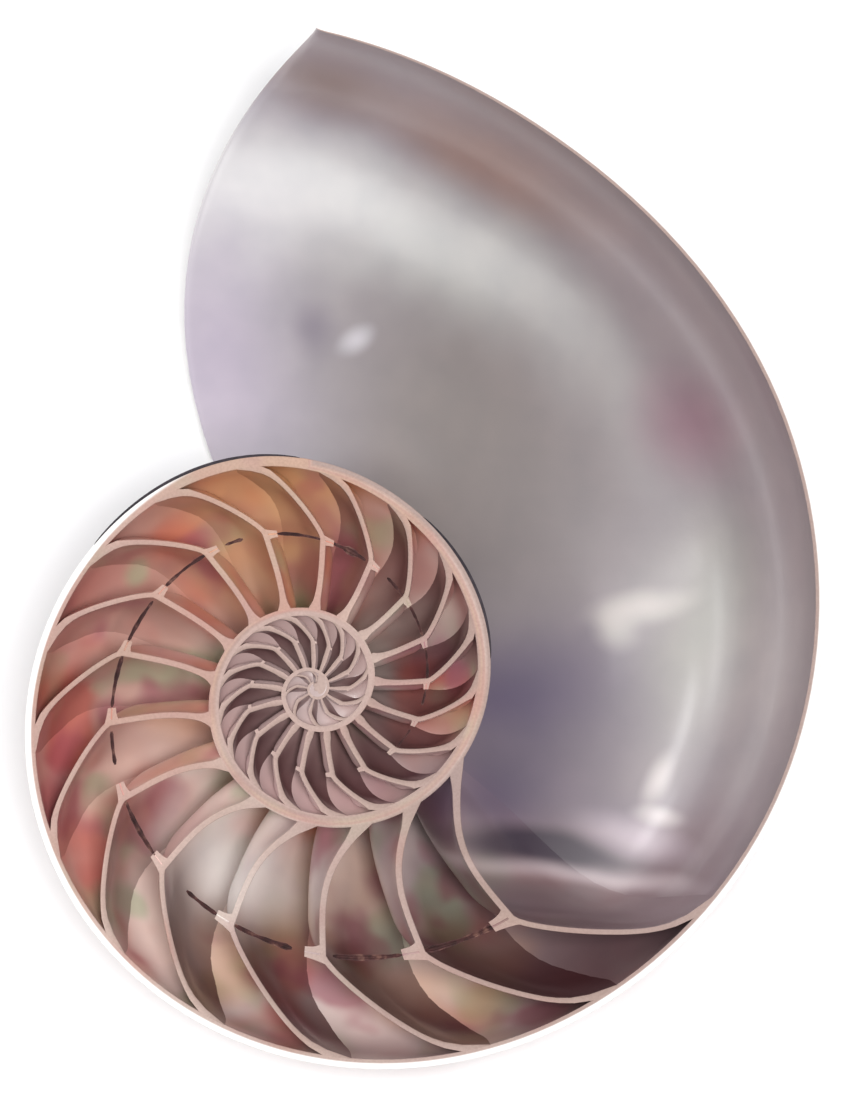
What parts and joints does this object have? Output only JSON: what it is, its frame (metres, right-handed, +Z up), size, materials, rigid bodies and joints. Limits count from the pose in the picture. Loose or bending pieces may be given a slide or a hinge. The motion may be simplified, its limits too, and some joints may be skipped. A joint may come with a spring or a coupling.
{
  "type": "nautilus shell half",
  "caption": "Half of a chambered nautilus shell, sawn along its plane of symmetry, lying on its round flank with the chambers open upward.",
  "frame": {"origin": "On the surface the half lies on, under the middle of its bounding box.", "axes": "+Z up. +Y runs along the longest side, from the deep end of the last chambers towards the venter behind the lip. The sawn face looks up, 12.7 degrees away from level, with its normal along (0.0802, -0.2045, 0.9756), as the half comes to rest on its round flank."},
  "size_m": [0.1266, 0.162, 0.0523],
  "materials": {
    "nacre": "smooth mother-of-pearl inside, satin porcelain outside"
  },
  "bodies": {
    "root": {"shell_half": "nacre"}
  },
  "joints": []
}
